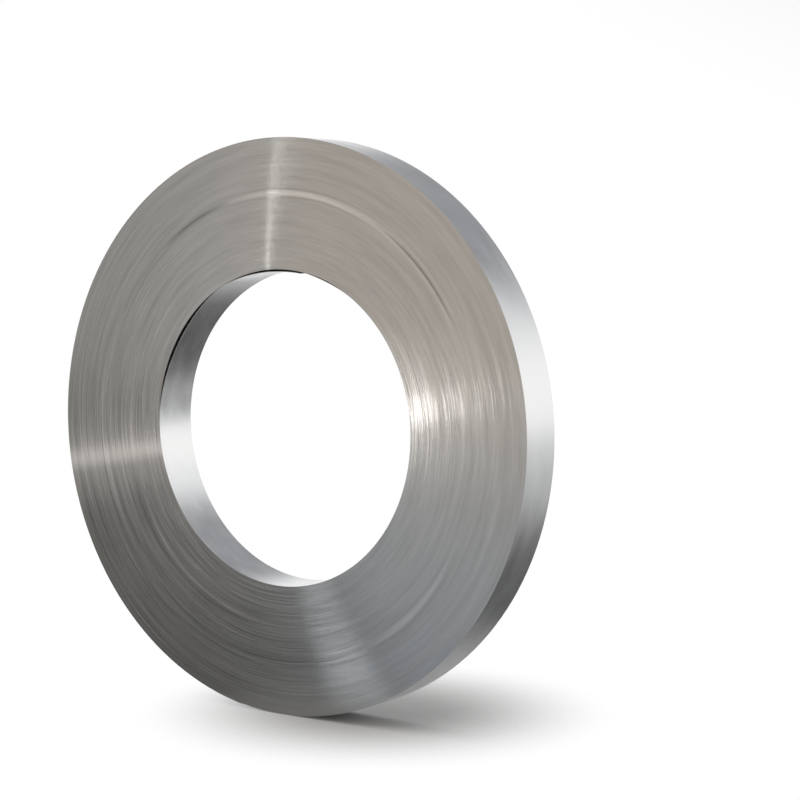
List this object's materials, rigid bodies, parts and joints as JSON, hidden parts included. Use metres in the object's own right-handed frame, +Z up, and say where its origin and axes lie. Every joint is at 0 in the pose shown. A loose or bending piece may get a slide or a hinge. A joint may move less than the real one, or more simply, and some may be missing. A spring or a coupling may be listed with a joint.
{
  "type": "aluminium strip coil",
  "caption": "Narrow mill-finish aluminium strip wound into a tight flat coil with an open bore; raw stock that is unwound from a mandrel to be cut, pressed or roll-formed.",
  "frame": {"origin": "on the floor, under the middle of the coil, which stands on its rim", "axes": "+Z up; the coil's axis lies along Y, with its front end facing -Y"},
  "size_m": [0.9276, 0.0798, 0.9271],
  "materials": {
    "mill_aluminium": "satin mill finish"
  },
  "bodies": {
    "root": {"strip_coil": "mill_aluminium"}
  },
  "joints": []
}
